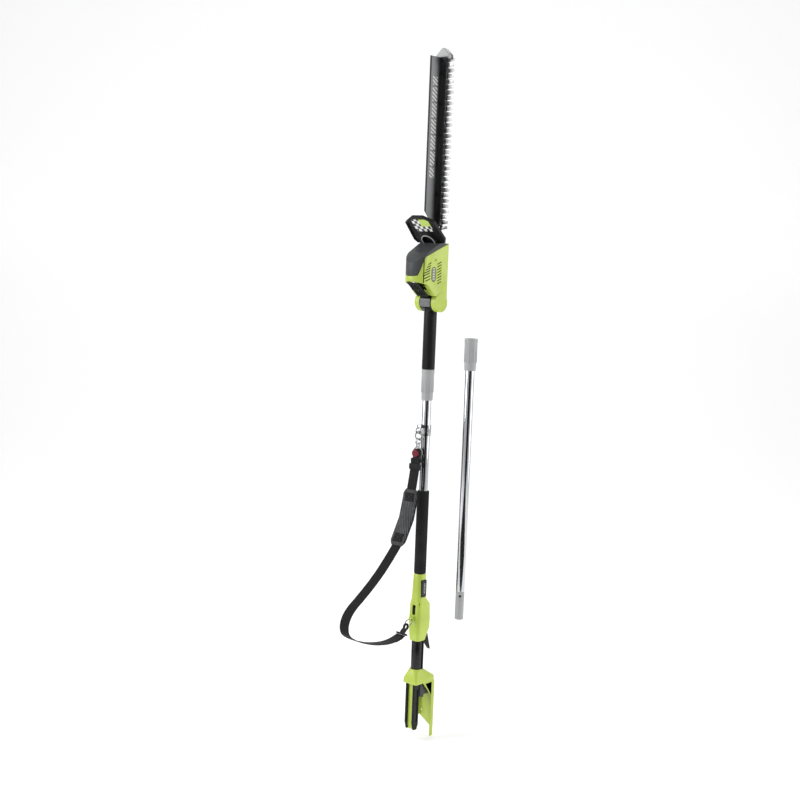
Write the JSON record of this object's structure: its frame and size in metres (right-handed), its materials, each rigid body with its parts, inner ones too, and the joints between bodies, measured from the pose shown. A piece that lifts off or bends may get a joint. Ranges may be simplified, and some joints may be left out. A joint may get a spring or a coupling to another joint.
{
  "type": "telescoping pole hedge trimmer",
  "caption": "Long pole hedge trimmer with a tilting motor head, a double-sided blade, a shoulder strap, a battery shroud and a spare extension section.",
  "frame": {"origin": "on the pole axis, half way along the clip seat on the bare tube above the foam grip", "axes": "+Z along the pole to the blade tip, -Y towards the top of the tool where the motor and the strap are, +Y towards the trigger side, +X across, towards the spare section"},
  "size_m": [0.22, 0.3592, 1.934],
  "materials": {
    "lime_plastic": "satin moulded plastic",
    "charcoal_plastic": "fine grained moulding",
    "black_plastic": "fine grained moulding",
    "black_gloss": "smooth",
    "grey_plastic": "fine grained moulding",
    "tube_metal": "polished, drawn lengthwise",
    "steel": "machined",
    "blade_steel": "ground, laser cut edges",
    "deflector_metal": "satin anodised with black edges",
    "foam": "soft foam",
    "webbing": "woven webbing",
    "pad_mesh": "spacer mesh over foam",
    "crimson_plastic": "smooth",
    "copper": "wound core, varnished",
    "label": "printed checks without lettering"
  },
  "bodies": {
    "handle_section": {"pole_tube": "tube_metal", "foam_grip": "foam", "socket_insert": "grey_plastic", "hanger_clamp": "steel", "hanger_bolt": "black_gloss", "hanger_ring": "steel", "handle_shell_left": "lime_plastic", "handle_shell_right": "lime_plastic", "handle_screws": "steel", "handle_badge": "black_gloss", "trigger_pin": "steel", "trigger_switch": "black_plastic", "handle_ring": "steel", "rear_tube": "black_gloss", "battery_lead": "black_plastic", "shroud_cap": "lime_plastic", "shroud_guard_wall": "lime_plastic", "guide_post": "black_plastic", "guide_spine": "lime_plastic", "terminal_block": "charcoal_plastic", "strap_hook": "steel", "quick_release": "black_plastic", "strap_upper": "webbing", "strap_pad": "pad_mesh", "strap_lower": "webbing", "strap_adjuster": "black_plastic", "lower_hook": "black_plastic"},
    "trigger": {"trigger": "black_plastic"},
    "lock_off": {"lock_off_button": "black_plastic"},
    "hook_gate": {"strap_hook_gate": "steel"},
    "strap_release": {"release_button": "crimson_plastic"},
    "collar": {"coupling_collar": "grey_plastic"},
    "upper_section": {"upper_tube": "black_plastic", "upper_spigot": "grey_plastic", "knuckle": "black_gloss", "pivot_pin": "steel"},
    "tilt_release": {"tilt_button": "grey_plastic"},
    "head": {"head_shell_left": "lime_plastic", "head_shell_right": "lime_plastic", "head_screws": "steel", "side_badges": "grey_plastic", "motor_cover": "charcoal_plastic", "rear_grille": "charcoal_plastic", "front_guard": "black_plastic", "guard_label": "label", "gear_plate": "steel", "motor_can": "steel", "blade_bar": "blade_steel", "blade_bolts": "steel", "deflector": "deflector_metal", "tip_guard": "grey_plastic"},
    "rotor": {"motor_rotor": "copper"},
    "crank": {"drive_gear": "steel", "crankshaft": "steel"},
    "first_blade": {"upper_blade": "blade_steel"},
    "second_blade": {"lower_blade": "blade_steel"},
    "extension": {"extension_tube": "tube_metal", "extension_socket": "grey_plastic", "extension_spigot": "grey_plastic"},
    "extension_twist": {"extension_collar": "grey_plastic"}
  },
  "joints": [
    {"name": "trigger_pull", "type": "hinge", "parent": "handle_section", "child": "trigger", "pos_m": [0, 0.02, -0.458], "axis": [1, 0, 0], "range_deg": [-8, 0], "stiffness_Nm_per_rad": 0.4, "springref_deg": 11.46},
    {"name": "lock_off_slide", "type": "slide", "parent": "handle_section", "child": "lock_off", "axis": [0, 0, 1], "range_m": [0, 0.005], "stiffness_N_per_m": 200, "springref_m": -0.004},
    {"name": "hook_gate_swing", "type": "hinge", "parent": "handle_section", "child": "hook_gate", "pos_m": [0, -0.0379, 0.0646], "axis": [1, 0, 0], "range_deg": [-25, 0], "stiffness_Nm_per_rad": 0.02, "springref_deg": 17.19},
    {"name": "strap_release_press", "type": "slide", "parent": "handle_section", "child": "strap_release", "axis": [0, 1, 0], "range_m": [0, 0.002], "stiffness_N_per_m": 600, "springref_m": -0.002},
    {"name": "collar_twist", "type": "hinge", "parent": "handle_section", "child": "collar", "pos_m": [0, 0, 0.22], "axis": [0, 0, 1], "range_deg": [-90, 90]},
    {"name": "section_draw", "type": "slide", "parent": "handle_section", "child": "upper_section", "axis": [0, 0, 1], "range_m": [0, 0.09]},
    {"name": "tilt_release_press", "type": "slide", "parent": "upper_section", "child": "tilt_release", "axis": [0, 1, 0], "range_m": [0, 0.003], "stiffness_N_per_m": 800, "springref_m": -0.002},
    {"name": "head_tilt", "type": "hinge", "parent": "upper_section", "child": "head", "pos_m": [0, 0, 0.452], "axis": [1, 0, 0], "range_deg": [-90, 45]},
    {"name": "rotor_spin", "type": "hinge", "parent": "head", "child": "rotor", "pos_m": [0, -0.057, 0.522], "axis": [0, 0, 1], "continuous": true},
    {"name": "crank_spin", "type": "hinge", "parent": "head", "child": "crank", "pos_m": [0, 0, 0.564], "axis": [0, -1, 0], "continuous": true},
    {"name": "first_blade_stroke", "type": "slide", "parent": "head", "child": "first_blade", "axis": [0, 0, 1], "range_m": [-0.00725, 0.00725]},
    {"name": "second_blade_stroke", "type": "slide", "parent": "head", "child": "second_blade", "axis": [0, 0, 1], "range_m": [-0.00725, 0.00725]},
    {"name": "extension_part", "type": "slide", "parent": "handle_section", "child": "extension", "axis": [1, 0, 0], "range_m": [0, 0.1]},
    {"name": "extension_collar_twist", "type": "hinge", "parent": "extension", "child": "extension_twist", "pos_m": [0.147, 0, 0.32], "axis": [0, 0, 1], "range_deg": [-90, 90]}
  ],
  "couplings": [
    {"joint": "crank_spin", "follows": "rotor_spin", "ratio": -0.52941},
    {"joint": "second_blade_stroke", "follows": "first_blade_stroke", "ratio": -1}
  ]
}
